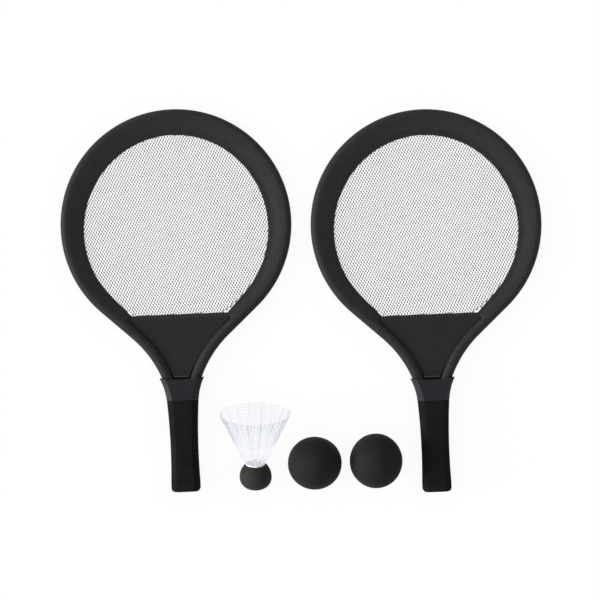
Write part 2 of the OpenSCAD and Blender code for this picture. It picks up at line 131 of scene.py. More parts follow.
class NetSizes(bpy.types.PropertyGroup):
    """The knitted net"""
    cell: length("Cell width", "Distance between two pits along a row", 3.17)
    row: length("Row height", "Distance between two rows", 2.5)
    strand: length("Strand width", "Across the yarn between two pits", 1.5)
    thickness: length("Thickness", "Of the yarn", 0.76)
    # A sheet closes the pits at this thickness; its grey is painted shade standing in for what
    # shows through the net
    pit_shade_sheet: length("Lining", "Thickness of the fine threads at the bottom of the pits", 0.26)
    pit_across: number("Pit across", "Width of a pit's floor against an even one", 0.52)
    pit_up: number("Pit up", "Height of a pit's floor against an even one", 1.62)
    slant: angle("Slant", "How far the rows rise to the right", 4.7)
    tuck: length("Tuck", "How far the net goes in under its hems", 1.6)
    drift: length("Drift", "How far the rows wander", 0.7)
    drift_run: length("Drift run", "Over what length they wander", 60)


class PanelSizes(bpy.types.PropertyGroup):
    """The fabric panel at the throat"""
    height: length("Height", "Above the handle's mouth", 69.5)
    low: length("Depth in the handle", "Below the handle's mouth", 9)
    thickness: length("Thickness", "Of each layer", 1)
    overlap: length("Overlap", "How far the panel goes onto the covered legs", 0.9)
    # Width of the painted shade laid along the seams at the covered legs
    crease: length("Crease", "Width of the dark fold along the covered legs", 1.5)
    gap: length("Gap", "Depth of the fold at the handle's mouth", 0.9)
    gap_rise: length("Gap rise", "From the handle's mouth to the middle of the fold", -0.5)
    gap_width: length("Gap width", "Of the fold", 0.9)
    net_half: length("Half net", "From the middle plane to each layer", 0.4)
    welt_height: length("Welt height", "Of the ridge above the handle's mouth", 0.9)
    welt_width: length("Welt width", "Of the ridge above the handle's mouth", 0.55)
    welt_rise: length("Welt rise", "From the handle's mouth to the ridge", 1.1)
    bulge: length("Bulge", "How far the panel comes forward above the handle's mouth", 1.2)
    bulge_rise: length("Bulge rise", "From the handle's mouth to where the bulge begins", 16)
    flat_side: length("Flat side", "From the side edge to where the bulge begins", 0.9)
    full_side: length("Full side", "From the side edge to where the bulge is full", 2.4)
    top_round: length("Top round", "Width of the rounded upper edge", 1.4)
    top_fall: share("Top fall", "How far that edge falls, of the thickness", 0.55)
    fabric: share("Fabric", "The fabric's own thickness, of the layer's", 0.42)


class GripSizes(bpy.types.PropertyGroup):
    """The handle's edges, the ribbed grip and its end cap"""
    edge: length("Handle edge", "Width of the softened edges of the handle", 0.35)
    edge_angle: angle("Handle edge angle", "Sharpest turn that stays unsoftened", 24)
    collar: length("Collar height", "From the grip to the handle's mouth", 25)
    grip: length("Grip length", "With its cap", 100)
    cap: length("Cap height", "Of the end cap", 12.8)
    waist_width: length("Waist width", "At the narrowest place", 30)
    waist_thickness: length("Waist thickness", "At the thinnest place", 23)
    waist_rise: length("Waist rise", "Above the end of the grip", 44.5)
    side_radius: length("Side radius", "Of the hollow along the sides", 720)
    face_radius: length("Face radius", "Of the hollow along front and back", 2400)
    bevel: length("Bevel", "Width of the bevels", 6)
    bevel_slope: number("Bevel slope", "Height of a bevel against its width", 0.9)
    soften: length("Soften", "Radius along the edges of the bevels", 2.0)
    cap_round: length("Cap radius", "Round the end of the cap", 4.4)
    rib: length("Rib pitch", "Distance between two ribs", 1.9)
    rib_depth: length("Rib depth", "Of the grooves between the ribs", 0.2)
    seam: length("Seam radius", "Round the edges where sleeve, cap and collar meet", 0.45)


class ShuttleSizes(bpy.types.PropertyGroup):
    """The shuttlecock"""
    nose_radius: length("Nose radius", "Of the foam nose at its widest place", 17.6)
    nose_low: length("Nose below", "Height of the nose below its widest place", 14.4)
    nose_flat: length("Nose face", "Height of the flat face above the widest place", 14.3)
    nose_face: length("Face radius", "Of the nose's flat face", 11.5)
    nose_side: length("Side radius", "Round the sides of the nose", 12)
    nose_fullness: number("Nose fullness", "2 for an oval below, more for squarer", 2.25)
    shift: length("Shift", "How much lower the foam nose sits than the solid one", 1.1)
    nose_round: length("Nose edge", "Radius round the flat face", 0.9)
    nose_drift: length("Nose unevenness", "How far the foam strays from round", 0.15)
    nose_lump: length("Nose lumps", "Over what length it strays", 14)
    hole: length("Hole", "Depth of the hole in the nose", 10)
    hole_edge: length("Hole edge", "Width of the bevel round the hole", 0.3)
    plug_radius: length("Plug radius", "Of the plug in the nose", 7)
    plug: length("Plug", "Length of the plug", 8)
    disc: length("Disc", "Thickness of the disc that the stems stand on", 1.6)
    base_radius: length("Base radius", "Of the skirt at the nose", 10.8)
    mouth_radius: length("Mouth radius", "Of the skirt's mouth", 38.6)
    reach: length("Reach", "From the nose's widest place to the skirt's mouth", 73.1)
    turn: angle("Turn", "How far it is turned on the floor", 0.4)
    stems: count("Stems", "Strong stems round the skirt", 16)
    ribs_between: count("Ribs between stems", "Thin ribs between two stems", 3)
    stem_width: length("Stem width", "Across a stem", 1.9)
    stem_foot: length("Stem depth, foot", "At the nose", 1.1)
    stem_tip: length("Stem depth, tip", "At the mouth", 0.75)
    stem_taper: share("Stem taper", "Width at the mouth against the foot", 0.85)
    rib_width: length("Rib width", "Across a thin rib", 0.6)
    rib_depth: share("Rib depth", "Against a stem's", 0.6)
    rib_start: length("Rib start", "Where the thin ribs begin, above the nose's widest place", 40)
    rings: count("Rings", "Rings round the skirt", 11)
    ring_height: length("Ring height", "Of each ring", 0.9)
    ring_depth: number("Ring depth", "Against a stem's", 1.1)
    fringe: length("Fringe", "How far the ribs stand past the last ring", 1.6)
    fringe_drift: length("Fringe unevenness", "How uneven the mouth's edge is", 0.35)


class BallSizes(bpy.types.PropertyGroup):
    """The foam balls"""
    left_size: lengths("Left ball", "Its three widths", 58.8, 57.5, 57.8)
    right_size: lengths("Right ball", "Its three widths", 57.5, 59.4, 57.8)
    unevenness: length("Unevenness", "How far the foam strays from round", 0.3)


class SetColours(bpy.types.PropertyGroup):
    """The colours of the set"""
    rim: colour("Rim fabric", "Woven cover", 43, 43, 44)
    net: colour("Net", "White yarn", 252, 252, 252)
    # Painted shade: grey of the sheet that closes the net's pits
    pit_shade_sheet: colour("Lining", "Fine threads at the bottom of the net's pits", 92, 92, 94)
    panel: colour("Panel", "Coated fabric", 31, 32, 34)
    # Painted shade: near black laid along the panel's seams and below the fold at the handle's
    # mouth
    fold: colour("Fold", "Along the panel's seams", 10, 10, 11)
    # Painted highlight: pale colour laid on the welt above the handle's mouth
    edging: colour("Edging", "Of the panel's lower end", 84, 85, 88)
    handle: colour("Handle", "Moulded plastic", 33, 34, 37)
    grip: colour("Grip", "Foam grip", 24, 24, 26)
    skirt: colour("Skirt", "Translucent plastic", 247, 248, 255)
    nose: colour("Nose", "Foam", 46, 46, 45)
    ball: colour("Balls", "Foam", 31, 31, 31)
    tube: colour("Tube", "Drawn aluminium", 205, 206, 208)
    floor: colour("Floor", "White floor", 253, 253, 253)


class StageSizes(bpy.types.PropertyGroup):
    """Camera, lights and floor"""
    eye_height: length("Eye height", "Of the camera above the floor", 2000)
    view_width: length("View width", "Across the picture, at the rackets", 660)
    view_level: length("View level", "Height at which that width is measured", 8)
    view_x: length("View across", "Where the camera looks", -1.1)
    view_y: length("View along", "Where the camera looks", 0.15)
    floor_size: length("Floor size", "Of the square floor", 8000)
    sky: number("Sky", "Strength of the even light", 0.60)
    key: number("Key", "Strength of the side light", 4.0)
    key_rise: angle("Key rise", "Of the side light above the floor", 22)
    key_turn: angle("Key turn", "Of the side light from straight left, towards the handles", 2)
    key_spread: angle("Key spread", "How wide the side light is", 30)
    shadow: share("Shadow", "How much of the shadow the floor shows", 0.03)
    contact: length("Contact", "How far the contact shadow spreads", 30)
    contact_share: share("Contact share", "How dark the contact shadow is", 0.06)


# ---- Small tools ----

def mix(a, b, t):
    """Between a and b"""
    return a + (b - a) * t


def ease(low, high, value):
    """Smooth step from 0 at low to 1 at high"""
    t = min(1.0, max(0.0, (value - low) / (high - low)))
    return t * t * (3 - 2 * t)


def settings(name):
    """A property group of the scene"""
    return getattr(bpy.context.scene, "racket_set_" + name)


def add_piece(name, bm, body, finish, replaced=(), smooth=True):
    """Makes a piece of a bmesh, which rides on a body"""
    mesh = bpy.data.meshes.new(name)
    bm.to_mesh(mesh)
    bm.free()
    mesh.polygons.foreach_set("use_smooth", [smooth] * len(mesh.polygons))
    mesh.materials.append(finish)
    piece = bpy.data.objects.new(name, mesh)
    bpy.context.scene.collection.objects.link(piece)
    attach(piece, body)
    if replaced:
        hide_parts(*replaced)
    return piece


def lay_grid(bm, along, around, place, chart=lambda u, v: (u, v)):
    """Lays a grid onto place(u, v), with u and v from 0 to 1, and chart(u, v) as its UV map"""
    uv_map = bm.loops.layers.uv.verify()
    made = bmesh.ops.create_grid(bm, x_segments=along, y_segments=around, size=0.5)
    faces = set()
    for vertex in made["verts"]:
        u, v = vertex.co.x + 0.5, vertex.co.y + 0.5
        for loop in vertex.link_loops:
            loop[uv_map].uv = chart(u, v)
        faces.update(vertex.link_faces)
        vertex.co = place(u, v)
    return list(faces)


def coat(piece, finish):
    """Gives one of the solids' meshes a finish in place of its own"""
    piece.data.materials.clear()
    piece.data.materials.append(finish)


def merge_doubled(bm, distance):
    """Merges the points that are no further apart than a distance"""
    bmesh.ops.remove_doubles(bm, verts=bm.verts, dist=distance)


def face_outwards(bm):
    """Turns all faces outwards"""
    bmesh.ops.recalc_face_normals(bm, faces=bm.faces)


def close_up(bm):
    """Merges doubled points, fills open ends and turns the faces outwards"""
    merge_doubled(bm, 0.002 * MM)
    open_edges = [edge for edge in bm.edges if edge.is_boundary]
    if open_edges:
        bmesh.ops.holes_fill(bm, edges=open_edges, sides=0)
    face_outwards(bm)


def racket_place(side):
    """The racket's own frame, read from its packed net and tube, from the middle of the head"""
    hoop, nearly_level = settings("hoop"), 0.9
    up = Vector()
    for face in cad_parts[side + "_net"].data.polygons:
        if face.normal.z > nearly_level:
            up += face.normal * face.area
    up.normalize()
    lean = math.acos(up.z)
    turn = math.atan2(-up.x, up.y)
    low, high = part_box(side + "_hoop_tube")
    tube_radius = (high.x - low.x) / 2 - hoop.head_radius
    middle = Vector((
        (low.x + high.x) / 2,
        high.y - hoop.head_radius * math.cos(lean) - tube_radius,
        hoop.cover_radius + hoop.head_radius * math.sin(lean),
    ))
    return (Matrix.Translation(middle) @ Matrix.Rotation(turn, 4, "Z")
            @ Matrix.Rotation(-lean, 4, "X"))


def add_racket_piece(side, name, bm, finish, node):
    """Makes a piece of one racket of a bmesh in the racket's own frame"""
    bm.transform(racket_place(side))
    return add_piece(side + name, bm, "racket_" + side, finish, [side + node])


class Hoop:
    """The rim's path and its hem, in the racket's own frame: Y towards the crown"""

    def __init__(self, sizes):
        self.sizes = sizes
        s, turn = sizes, sizes.shoulder_angle
        self.out = Vector((math.cos(turn), -math.sin(turn)))
        across = (s.head_radius * math.cos(turn) - s.leg_spacing / 2
                  - s.shoulder_radius * (1 - math.cos(turn)))
        self.shoulder = across / math.sin(turn)
        top = s.head_radius * self.out
        self.low = top - self.shoulder * Vector((math.sin(turn), math.cos(turn)))
        self.bend_middle = self.low + s.shoulder_radius * self.out
        self.mouth_y = self.bend_middle.y + s.mouth_rise
        self.start_angle = math.asin((s.mouth_rise - s.tuck) / s.shoulder_radius)
        self.hem_radius = s.head_radius + s.cover_radius - s.band_crown
        self.side_radius = self.hem_radius + s.side_ease
        self.side_middle = -s.side_ease * Vector((math.cos(s.side_start), math.sin(s.side_start)))
        straight = Vector((math.cos(s.hem_angle), -math.sin(s.hem_angle)))
        self.hem_offset = self.side_radius + self.side_middle.dot(straight)
        turned = self.side_middle + self.side_radius * straight
        self.hem_turn = math.atan2(turned.y, turned.x)
        self.panel_top = self.mouth_y + settings("panel").height
        corner = Vector((self.hem_x(self.panel_top), self.panel_top))
        self.corner = (corner - self.low).dot(Vector((math.sin(turn), math.cos(turn))))
        self.bend = (turn - self.start_angle) * s.shoulder_radius
        self.head = (math.pi / 2 + turn) * s.head_radius
        self.half = self.bend + self.shoulder + self.head

    def hem_x(self, y):
        """Half the net's width at a height on its straight sides"""
        return ((self.hem_offset + y * math.sin(self.sizes.hem_angle))
                / math.cos(self.sizes.hem_angle))

    def to_hem_line(self, point, out):
        """Distance inwards from a point to the net's straight side"""
        cos, sin = math.cos(self.sizes.hem_angle), math.sin(self.sizes.hem_angle)
        return (point.x * cos - point.y * sin - self.hem_offset) / (out.x * cos - out.y * sin)

    def at(self, distance):
        """Middle of the tube, outward direction and reach to the hem, along the rim"""
        along = min(distance, 2 * self.half - distance)
        point, out, reach = self.right_at(along)
        if distance > self.half:
            point, out = Vector((-point.x, point.y)), Vector((-out.x, out.y))
        start = self.bend + self.corner
        shifted = ease(start, start + self.sizes.shift_run, along)
        return point, out, reach - shifted * Vector(self.sizes.hem_shift).dot(out)

    def right_at(self, distance):
        """The same along the right half, before the net's opening is shifted"""
        s = self.sizes
        if distance < self.bend:
            turn = self.start_angle + distance / s.shoulder_radius
            out = Vector((math.cos(turn), -math.sin(turn)))
            return self.bend_middle - s.shoulder_radius * out, out, s.cover_radius
        if distance < self.bend + self.shoulder:
            run = distance - self.bend
            point = self.low.lerp(s.head_radius * self.out, run / self.shoulder)
            eased = s.cover_radius + s.seam_ease * run / self.corner
            hemmed = max(0.0, min(1.0, 1 - (self.corner - run) / s.corner))
            return point, self.out, mix(eased, self.to_hem_line(point, self.out), hemmed)
        turn = (distance - self.bend - self.shoulder) / s.head_radius - s.shoulder_angle
        out = Vector((math.cos(turn), math.sin(turn)))
        inner = self.hem_radius
        if turn < self.hem_turn:
            inner = self.hem_offset / math.cos(turn + s.hem_angle)
        elif turn < s.side_start:
            along = out.dot(self.side_middle)
            inner = along + math.sqrt(self.side_radius ** 2 - s.side_ease ** 2 + along ** 2)
        return s.head_radius * out, out, s.head_radius - inner

    def stations(self, step):
        """Distances round the whole rim about a step apart, with the hem's corners among them"""
        end = self.bend + self.corner
        marks = [0.0, end - self.sizes.corner, end, self.half]
        marks += [2 * self.half - mark for mark in reversed(marks[:-1])]
        distances = [0.0]
        for low, high in zip(marks, marks[1:]):
            parts = max(1, round((high - low) / step))
            distances += [mix(low, high, i / parts) for i in range(1, parts + 1)]
        return distances

    def hem_at(self, distance, gap=0.0):
        """A point of the hem's inner edge, or a gap further in"""
        point, out, reach = self.at(distance)
        return point - out * (reach + gap)

    def distance_at(self, height, gap=0.0):
        """How far along the right side the hem reaches a height"""
        low, high, halvings = 0.0, self.half, 40
        for _ in range(halvings):
            middle = (low + high) / 2
            if self.hem_at(middle, gap).y < height:
                low = middle
            else:
                high = middle
        return (low + high) / 2

    def holds(self, x, y, margin):
        """Whether a point lies inside the net's outline, or less than the margin outside it"""
        s, spot = self.sizes, Vector((abs(x), y))
        if math.atan2(y, abs(x)) < s.side_start:
            inside = (spot - self.side_middle).length < self.side_radius + margin
        else:
            inside = spot.length < self.hem_radius + margin
        return (inside and y > self.panel_top - margin
                and spot.x * math.cos(s.hem_angle) - y * math.sin(s.hem_angle)
                < self.hem_offset + margin)

    def section(self, reach):
        """Closed outline of the cover: hem, stretched fabric, round the tube and back"""
        s = self.sizes
        half, radius = s.hem_thickness / 2, s.cover_radius
        lean = math.atan(half / reach) + math.acos(radius / math.hypot(reach, half))
        nose_steps, run_steps, arc_steps = 3, 12, 14
        tangent = Vector((-radius * math.cos(lean), radius * math.sin(lean)))
        nose = [
            Vector((half - reach + half * math.cos(a), half * math.sin(a)))
            for a in (math.pi - math.pi / 2 * i / nose_steps for i in range(nose_steps + 1))
        ]
        run = tangent - nose[-1]
        slack = min(1.0, run.length / s.band_crown)

        def stretched(t):
            dip = s.sag * math.sin(math.pi * t) + s.swell * math.sin(2 * math.pi * t)
            return nose[-1] + run * t - Vector((0, slack * dip))

        top = nose + [stretched(i / run_steps) for i in range(1, run_steps + 1)] + [
            radius * Vector((math.cos(a), math.sin(a)))
            for a in ((math.pi - lean) * (1 - i / arc_steps) for i in range(1, arc_steps + 1))
        ]
        return top + [Vector((p.x, -p.y)) for p in reversed(top[:-1])]


# ---- Materials ----

def add_node(tree, kind, inputs=None, **values):
    """A node with its settings, input values and links"""
    made = tree.nodes.new(kind)
    for key, value in values.items():
        setattr(made, key, value)
    for key, value in (inputs or {}).items():
        if isinstance(value, bpy.types.NodeSocket):
            tree.links.new(value, made.inputs[key])
        else:
            made.inputs[key].default_value = value
    return made


def maths(tree, operation, *values):
    """The result of a sum"""
    made = add_node(tree, "ShaderNodeMath", dict(enumerate(values)), operation=operation)
    return made.outputs[0]


def clouds(tree, vector, scale, detail):
    """Soft noise from 0 to 1"""
    made = add_node(
        tree, "ShaderNodeTexNoise", {"Vector": vector, "Scale": scale, "Detail": detail})
    return made.outputs["Fac"]


def varied(tree, vector, colour_name, scale, amount, detail=3.0):
    """One of the set's colours, drifting a little lighter and darker"""
    ramp = add_node(
        tree, "ShaderNodeValToRGB", {"Fac": clouds(tree, vector, scale, detail)})
    tone = getattr(settings("colours"), colour_name)
    low, high = ramp.color_ramp.elements
    low.position, high.position = 0.3, 0.7
    low.color = [c * (1 - amount) for c in tone] + [1]
    high.color = [min(1.0, c * (1 + amount)) for c in tone] + [1]
    return ramp.outputs["Color"]


def blend(tree, share_of, tone, other):
    """A colour that changes by a share to another of the set's colours"""
    made = add_node(tree, "ShaderNodeMix", {0: share_of, 6: tone}, data_type="RGBA")
    made.inputs[7].default_value = (*getattr(settings("colours"), other), 1)
    return made.outputs[2]


def attribute(tree, name):
    """A number that the piece's own points hold"""
    return add_node(tree, "ShaderNodeAttribute", attribute_name=name).outputs["Fac"]


def ramped(tree, value, low, high, to_low=0.0, to_high=1.0, **values):
    """A value between low and high, laid onto another range"""
    made = add_node(tree, "ShaderNodeMapRange", {
        "Value": value, "From Min": low, "From Max": high, "To Min": to_low, "To Max": to_high},
        **values)
    return made.outputs["Result"]


def bump(tree, shader, height, distance, strength=1.0, under=None):
    """Presses a height into a shader's surface, over another bump where there is one"""
    inputs = {"Height": height, "Distance": distance, "Strength": strength}
    if under is not None:
        inputs["Normal"] = under
    made = add_node(tree, "ShaderNodeBump", inputs)
    tree.links.new(made.outputs["Normal"], shader.inputs["Normal"])
    return made.outputs["Normal"]


def waves(tree, coordinate, pitch):
    """A sine wave along one coordinate"""
    return maths(tree, "SINE", maths(tree, "MULTIPLY", coordinate, 2 * math.pi / pitch))


def dots(tree, across, up, pitch_across, pitch_up):
    """Rows of soft dots, high and low by turns"""
    return maths(
        tree, "MULTIPLY", waves(tree, across, pitch_across), waves(tree, up, pitch_up))


def net_dots(tree, across, up):
    """The net's pits, as they show through a fabric over it"""
    net = settings("net")
    return dots(tree, across, up, net.cell, 2 * net.row)


def object_point(tree):
    """Object coordinates"""
    return add_node(tree, "ShaderNodeTexCoord").outputs["Object"]


def surface_point(tree):
    """The piece's own UV map, in metres, as two numbers"""
    place = add_node(tree, "ShaderNodeUVMap").outputs["UV"]
    split = add_node(tree, "ShaderNodeSeparateXYZ", {"Vector": place})
    return place, split.outputs["X"], split.outputs["Y"]


def seen(tree):
    """Where a surface or the sky is looked at, directly, in a gloss or through a clear piece"""
    rays = add_node(tree, "ShaderNodeLightPath").outputs
    mirrored = maths(tree, "MAXIMUM", rays["Is Glossy Ray"], rays["Is Transmission Ray"])
    return maths(tree, "MAXIMUM", rays["Is Camera Ray"], mirrored)


def start_finish(name, roughness, specular, **fixed):
    """A material, its node tree and its shader, with the values that are the same all over"""
    material = bpy.data.materials.new(name)
    material.use_nodes = True
    tree = material.node_tree
    shader = next(n for n in tree.nodes if n.type == "BSDF_PRINCIPLED")
    shader.inputs["Roughness"].default_value = roughness
    shader.inputs["Specular IOR Level"].default_value = specular
    for key, value in fixed.items():
        shader.inputs[key.replace("_", " ")].default_value = value
    return material, tree, shader


def grained(finish, colour_name, drift, amount, grain, detail, height, strength):
    """Gives a finish a colour that drifts and a fine grain"""
    material, tree, shader = finish
    place = object_point(tree)
    tree.links.new(
        varied(tree, place, colour_name, drift, amount), shader.inputs["Base Color"])
    bump(tree, shader, clouds(tree, place, grain, detail), height, strength)
    return material


def rim_fabric(name, girth):
    """Black woven fabric, with the net's relief along its hem"""
    hoop = settings("hoop")
    streak_tone, dot_tone, hem_tone = 0.9, 0.5, 0.16
    material, tree, shader = start_finish(name, roughness=0.45, specular=0.07)
    place, along, around = surface_point(tree)
    tone = varied(tree, place, "rim", scale=420.0, amount=0.16)
    pulled = add_node(tree, "ShaderNodeCombineXYZ", {
        "X": maths(tree, "MULTIPLY", along, 90.0), "Y": maths(tree, "MULTIPLY", around, 700.0)})
    streaks = clouds(tree, pulled.outputs["Vector"], scale=1.0, detail=2.0)
    weave = dots(tree, along, around, hoop.weave, hoop.weave)
    from_hem = maths(tree, "MINIMUM", around, maths(tree, "SUBTRACT", girth, around))
    edge = ramped(tree, from_hem, hoop.relief, 0.6 * hoop.relief)
    relief = maths(tree, "MULTIPLY", net_dots(tree, along, around), edge)
    streaked = maths(tree, "MULTIPLY", maths(tree, "SUBTRACT", streaks, 0.5), streak_tone)
    dotted = maths(tree, "MULTIPLY", relief, dot_tone)
    hemmed = maths(tree, "SUBTRACT", dotted, maths(tree, "MULTIPLY", edge, hem_tone))
    shade = maths(tree, "ADD", 1.0, maths(tree, "ADD", streaked, hemmed))
    tinted = add_node(tree, "ShaderNodeVectorMath", {0: tone, "Scale": shade}, operation="SCALE")
    tree.links.new(tinted.outputs["Vector"], shader.inputs["Base Color"])
    woven = bump(tree, shader, weave, 0.05 * MM, strength=0.6)
    pressed = bump(tree, shader, relief, 0.22 * MM, strength=0.8, under=woven)
    bump(tree, shader, streaks, 0.25 * MM, strength=0.6, under=pressed)
    return material


def net_yarn(name):
    """White knitted yarn, with painted shade on the sheet that closes its pits"""
    material, tree, shader = start_finish(name, roughness=0.5, specular=0.35, Sheen_Weight=0.05)
    place = object_point(tree)
    tone = varied(tree, place, "net", scale=90.0, amount=0.04)
    # Painted shade: the floors of the pits turn grey
    depth = ramped(tree, attribute(tree, "pit"), 0.55, 1.0, interpolation_type="SMOOTHSTEP")
    tree.links.new(blend(tree, depth, tone, "pit_shade_sheet"), shader.inputs["Base Color"])
    bump(tree, shader, clouds(tree, place, scale=2600.0, detail=2.0), 0.06 * MM, strength=0.5)
    return material


def panel_fabric(name):
    """Smooth coated fabric, with the net's relief along its top, painted shade along its seams and
    at the handle's mouth, and a painted highlight on the welt
    """
    material, tree, shader = start_finish(name, roughness=0.5, specular=0.12)
    place, across, up = surface_point(tree)
    tone = varied(tree, place, "panel", scale=45.0, amount=0.08)
    # Painted shade along the seams by the covered legs and at the handle's mouth
    seam_shaded = blend(tree, attribute(tree, "crease"), tone, "fold")
    # Painted highlight on the welt above the handle's mouth
    highlighted = blend(tree, attribute(tree, "edging"), seam_shaded, "edging")
    tree.links.new(highlighted, shader.inputs["Base Color"])
    grain = clouds(tree, place, scale=2400.0, detail=2.0)
    top, faint, full = Hoop(settings("hoop")).panel_top, 5.2 * MM, 4.0 * MM
    edge = ramped(tree, up, top - faint, top - full)
    relief = maths(tree, "MULTIPLY", net_dots(tree, across, up), edge)
    roughened = bump(tree, shader, grain, 0.03 * MM, strength=0.5)
    bump(tree, shader, relief, 0.4 * MM, under=roughened)
    return material


def handle_plastic(name):
    """Satin moulded plastic with a fine spark texture, glossier where it is seen aslant"""
    material, tree, shader = start_finish(name, roughness=0.7, specular=0.1)
    turned = add_node(tree, "ShaderNodeLayerWeight", {"Blend": 0.5})
    gloss = ramped(tree, turned.outputs["Facing"], 0.05, 0.3, to_low=0.1, to_high=0.26)
    tree.links.new(gloss, shader.inputs["Specular IOR Level"])
    return grained(
        (material, tree, shader), "handle", drift=60.0, amount=0.06,
        grain=3200.0, detail=3.0, height=0.02 * MM, strength=0.6)


def grip_foam(name):
    """Matte closed-cell foam"""
    return grained(
        start_finish(name, roughness=0.85, specular=0.05), "grip", drift=70.0, amount=0.12,
        grain=2200.0, detail=3.0, height=0.08 * MM, strength=0.7)


def skirt_plastic(name, clear):
    """Bluish white plastic, of which a share lets light through"""
    return grained(
        start_finish(name, roughness=0.4, specular=0.4, Transmission_Weight=clear, IOR=1.055),
        "skirt", drift=80.0, amount=0.02,
        grain=900.0, detail=2.0, height=0.03 * MM, strength=0.4)


def tube_metal(name):
    """Drawn aluminium with a fine grain"""
    return grained(
        start_finish(name, roughness=0.35, specular=0.5, Metallic=1.0),
        "tube", drift=120.0, amount=0.05,
        grain=1800.0, detail=2.0, height=0.02 * MM, strength=0.5)


def ball_foam(name, colour_name, drift):
    """Matte foam rubber with fine pores"""
    material, tree, shader = start_finish(name, roughness=0.7, specular=0.08)
    place = object_point(tree)
    speckled = varied(tree, place, colour_name, drift, amount=0.14, detail=6.0)
    tree.links.new(speckled, shader.inputs["Base Color"])
    cells = add_node(
        tree, "ShaderNodeTexVoronoi", {"Vector": place, "Scale": 1500.0, "Randomness": 1.0})
    pitted = bump(tree, shader, cells.outputs["Distance"], 0.10 * MM, strength=0.55)
    skin = clouds(tree, place, scale=700.0, detail=4.0)
    bump(tree, shader, skin, 0.25 * MM, strength=0.5, under=pitted)
    return material


def finish_of(make, name, **values):
    """A finish that like pieces share"""
    return bpy.data.materials.get(name) or make(name, **values)


# ---- Pieces ----

class RACKETSET_OT_rims(bpy.types.Operator):
    """Sewn covers over the hoops, drawn in to thin hems"""
    bl_idname = "racket_set.rims"
    bl_label = "Rim covers"

    def execute(self, context):
        hoop, step = Hoop(settings("hoop")), 2 * MM
        distances = hoop.stations(step)
        along = len(distances) - 1
        widest = hoop.section(hoop.at(hoop.half)[2])
        around = len(widest)
        widths = [0.0]
        for i in range(around):
            widths.append(widths[-1] + (widest[(i + 1) % around] - widest[i]).length)
        finish = finish_of(rim_fabric, "rim fabric", girth=widths[-1])

        def place(u, v):
            point, out, reach = hoop.at(distances[round(u * along)])
            across, up = hoop.section(reach)[round(v * around) % around]
            flat = point + out * across
            return Vector((flat.x, flat.y, up))

        for side in SIDES:
            bm = bmesh.new()
            lay_grid(
                bm, along, around, place,
                lambda u, v: (distances[round(u * along)], widths[round(v * around)]))
            close_up(bm)
            cover = add_racket_piece(side, "_rim_fabric", bm, finish, "_rim_cover")
            coat(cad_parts[side + "_hoop_tube"], finish_of(tube_metal, "tube metal"))
        return {"FINISHED"}


class RACKETSET_OT_nets(bpy.types.Operator):
    """Knitted nets of six-sided pits"""
    bl_idname = "racket_set.nets"
    bl_label = "Nets"

    def execute(self, context):
        sizes, filled = settings("net"), 0.80
        hoop = Hoop(settings("hoop"))
        finish = finish_of(net_yarn, "net yarn")
        for side in SIDES:
            bm = bmesh.new()
            self.lay_cells(bm, hoop, sizes)
            self.round_strands(bm, sizes)
            net = add_racket_piece(side, "_net_mesh", bm, finish, "_net")
        return {"FINISHED"}

    def lay_cells(self, bm, hoop, sizes):
        """Six-sided cells over the whole face, joined edge to edge"""
        turn = Matrix.Rotation(sizes.slant, 4, "Z")
        stretch = Matrix.Diagonal((sizes.cell / math.sqrt(3), sizes.row * 2 / 3, 1, 1))
        spread = 1.2 * hoop.hem_radius
        rows, columns = round(spread / sizes.row), round(spread / sizes.cell)
        for row in range(-rows, rows + 1):
            for column in range(-columns, columns + 1):
                middle = Vector(((column + row % 2 / 2) * sizes.cell, row * sizes.row, 0))
                spot = turn @ middle
                if hoop.holds(spot.x, spot.y, sizes.tuck):
                    bmesh.ops.create_circle(
                        bm, cap_ends=True, segments=6, radius=1,
                        matrix=turn @ Matrix.Translation(middle) @ stretch)
        merge_doubled(bm, 0.02 * MM)

    def round_strands(self, bm, sizes):
        """Sinks a pit into each cell, back and front, with raised strands between them; a thin
        sheet closes each pit's floor and carries the painted shade
        """
        pit = bm.verts.layers.float.new("pit")
        crests = [vertex for vertex in bm.verts if not vertex.is_boundary]
        cells = list(bm.faces)
        bmesh.ops.inset_individual(
            bm, faces=cells, thickness=sizes.strand / 2, use_even_offset=True)
        turned = Matrix.Rotation(sizes.slant, 2)
        slim = turned @ Matrix.Diagonal((sizes.pit_across, sizes.pit_up)) @ turned.transposed()
        for cell in cells:
            middle = cell.calc_center_median().xy
            for vertex in cell.verts:
                # The pit floors are marked for the painted shade and sink to the closing sheet
                vertex[pit] = 1.0
                vertex.co.xy = middle + slim @ (vertex.co.xy - middle)
                vertex.co.z = sizes.pit_shade_sheet / 2
        for vertex in crests:
            vertex.co.z = sizes.thickness / 2
        made = bmesh.ops.duplicate(bm, geom=list(bm.verts) + list(bm.edges) + list(bm.faces))
        copies = [item for item in made["geom"] if isinstance(item, bmesh.types.BMVert)]
        for vertex in copies:
            vertex.co.z = -vertex.co.z
        merge_doubled(bm, 0.01 * MM)
        face_outwards(bm)
        sideways, upwards = Vector((0.7, 1.3)), Vector((1.1, -0.5))
        for vertex in bm.verts:
            spot = vertex.co.xy / sizes.drift_run
            vertex.co.x += sizes.drift * math.sin(sideways.dot(spot))
            vertex.co.y += sizes.drift * math.sin(upwards.dot(spot))


